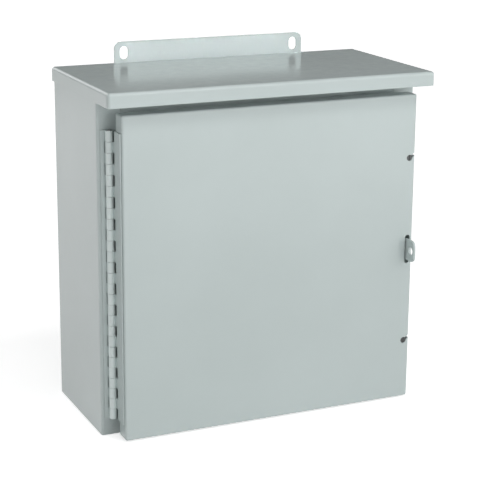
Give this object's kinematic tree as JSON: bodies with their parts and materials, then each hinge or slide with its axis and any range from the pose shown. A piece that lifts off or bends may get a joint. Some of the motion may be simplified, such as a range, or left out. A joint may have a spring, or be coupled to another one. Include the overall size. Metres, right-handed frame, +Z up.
{
  "type": "electrical wall cabinet",
  "caption": "Rain-shielded steel wall cabinet with a hinged, padlockable door over a mounting panel that carries a main switch, breakers and terminal bars.",
  "frame": {"origin": "on the flat underside, at the centre of the whole part's box in X and Y", "axes": "+X to the right seen from the front, -Y to the front (the door side), +Z up"},
  "size_m": [0.4102, 0.209, 0.4389],
  "materials": {
    "paint": "semi-gloss light grey powder coat",
    "zinc": "zinc plated",
    "steel": "plain steel",
    "blackened": "black oxide steel",
    "panel_white": "white enamel",
    "case_plastic": "moulded light grey",
    "lever_plastic": "moulded black",
    "insulator": "moulded blue",
    "brass": "drawn bar"
  },
  "bodies": {
    "cabinet": {"body_wrap": "paint", "body_floor": "paint", "body_roof": "paint", "opening_collar": "paint", "drip_shield": "paint", "upper_mounting_bracket": "paint", "padlock_staple": "paint", "hinge_body_leaf": "paint", "hinge_pin": "steel", "mounting_panel": "panel_white", "panel_stud_lower_left": "zinc", "panel_stud_lower_right": "zinc", "panel_stud_upper_left": "zinc", "panel_stud_upper_right": "zinc", "panel_nut_lower_left": "zinc", "panel_nut_lower_right": "zinc", "panel_nut_upper_left": "zinc", "panel_nut_upper_right": "zinc", "ground_stud": "zinc", "ground_nut": "zinc", "din_rail": "zinc", "rail_screw_left": "zinc", "rail_screw_right": "zinc", "rail_stop_left": "case_plastic", "rail_stop_right": "case_plastic", "main_switch_case": "case_plastic", "breaker_1_case": "case_plastic", "breaker_2_case": "case_plastic", "breaker_3_case": "case_plastic", "breaker_4_case": "case_plastic", "breaker_5_case": "case_plastic", "neutral_bar": "brass", "neutral_support_left": "insulator", "neutral_support_right": "insulator", "earth_bar": "brass", "earth_support_left": "zinc", "earth_support_right": "zinc"},
    "door": {"door_pan": "paint", "hinge_door_leaf": "paint"},
    "upper_latch": {"upper_latch_stem": "blackened", "upper_latch_cam": "zinc", "upper_latch_clip": "steel"},
    "lower_latch": {"lower_latch_stem": "blackened", "lower_latch_cam": "zinc", "lower_latch_clip": "steel"},
    "main_switch_toggle": {"main_switch_toggle": "lever_plastic"},
    "breaker_1_toggle": {"breaker_1_toggle": "lever_plastic"},
    "breaker_2_toggle": {"breaker_2_toggle": "lever_plastic"},
    "breaker_3_toggle": {"breaker_3_toggle": "lever_plastic"},
    "breaker_4_toggle": {"breaker_4_toggle": "lever_plastic"},
    "breaker_5_toggle": {"breaker_5_toggle": "lever_plastic"}
  },
  "joints": [
    {"name": "door_swing", "type": "hinge", "parent": "cabinet", "child": "door", "pos_m": [-0.1903, -0.0573, 0.19345], "axis": [0, 0, -1], "range_deg": [0, 120]},
    {"name": "upper_latch_turn", "type": "hinge", "parent": "door", "child": "upper_latch", "pos_m": [0.1808, -0.0525, 0.308], "axis": [0, 1, 0], "range_deg": [0, 90]},
    {"name": "lower_latch_turn", "type": "hinge", "parent": "door", "child": "lower_latch", "pos_m": [0.1808, -0.0525, 0.0765], "axis": [0, 1, 0], "range_deg": [0, 90]},
    {"name": "main_switch_throw", "type": "hinge", "parent": "cabinet", "child": "main_switch_toggle", "pos_m": [-0.045, 0.0308, 0.25], "axis": [-1, 0, 0], "range_deg": [0, 60]},
    {"name": "breaker_1_throw", "type": "hinge", "parent": "cabinet", "child": "breaker_1_toggle", "pos_m": [-0.009, 0.0308, 0.25], "axis": [-1, 0, 0], "range_deg": [0, 60]},
    {"name": "breaker_2_throw", "type": "hinge", "parent": "cabinet", "child": "breaker_2_toggle", "pos_m": [0.009, 0.0308, 0.25], "axis": [-1, 0, 0], "range_deg": [0, 60]},
    {"name": "breaker_3_throw", "type": "hinge", "parent": "cabinet", "child": "breaker_3_toggle", "pos_m": [0.027, 0.0308, 0.25], "axis": [-1, 0, 0], "range_deg": [0, 60]},
    {"name": "breaker_4_throw", "type": "hinge", "parent": "cabinet", "child": "breaker_4_toggle", "pos_m": [0.045, 0.0308, 0.25], "axis": [-1, 0, 0], "range_deg": [0, 60]},
    {"name": "breaker_5_throw", "type": "hinge", "parent": "cabinet", "child": "breaker_5_toggle", "pos_m": [0.063, 0.0308, 0.25], "axis": [-1, 0, 0], "range_deg": [0, 60]}
  ]
}
